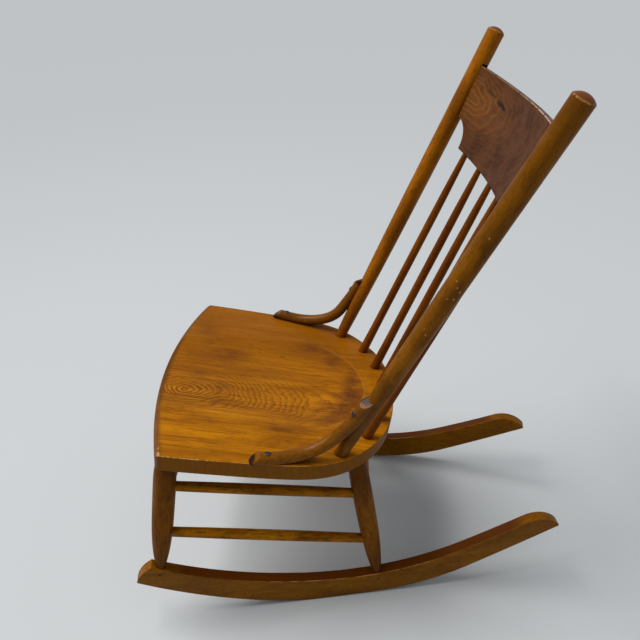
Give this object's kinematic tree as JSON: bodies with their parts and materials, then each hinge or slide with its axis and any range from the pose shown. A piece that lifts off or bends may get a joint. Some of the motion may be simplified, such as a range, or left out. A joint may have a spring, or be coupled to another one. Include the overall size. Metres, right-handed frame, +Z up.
{
  "type": "spindle-back rocking chair",
  "caption": "Armless low-seated wooden rocking chair with a hollowed plank seat, turned spindles and posts, a bent crest tablet, curved braces and two long rockers.",
  "frame": {"origin": "On the floor, midway between the two rockers and midway along them (bottom centre of the bounding box).", "axes": "+Z up; -Y is the way the sitter faces, +Y is behind the back; +X is the sitter's left hand."},
  "size_m": [0.4776, 0.7055, 0.8597],
  "materials": {
    "seat_wood": "satin varnish",
    "post_wood": "satin varnish",
    "brace_wood": "satin varnish",
    "rocker_wood": "satin varnish",
    "rung_wood": "satin varnish",
    "leg_wood": "satin varnish",
    "crest_wood": "satin varnish",
    "spindle_wood": "satin varnish",
    "screw_steel": "darkened"
  },
  "bodies": {
    "root": {"crest": "crest_wood", "front_left_leg": "leg_wood", "front_right_leg": "leg_wood", "front_rung": "rung_wood", "left_brace": "brace_wood", "left_brace_post_screw": "screw_steel", "left_brace_seat_screw": "screw_steel", "left_lower_rung": "rung_wood", "left_post": "post_wood", "left_rocker": "rocker_wood", "left_upper_rung": "rung_wood", "rear_left_leg": "leg_wood", "rear_right_leg": "leg_wood", "rear_rung": "rung_wood", "right_brace": "brace_wood", "right_brace_post_screw": "screw_steel", "right_brace_seat_screw": "screw_steel", "right_lower_rung": "rung_wood", "right_post": "post_wood", "right_rocker": "rocker_wood", "right_upper_rung": "rung_wood", "seat": "seat_wood", "spindle_1": "spindle_wood", "spindle_2": "spindle_wood", "spindle_3": "spindle_wood", "spindle_4": "spindle_wood", "spindle_5": "spindle_wood", "spindle_6": "spindle_wood"}
  },
  "joints": []
}
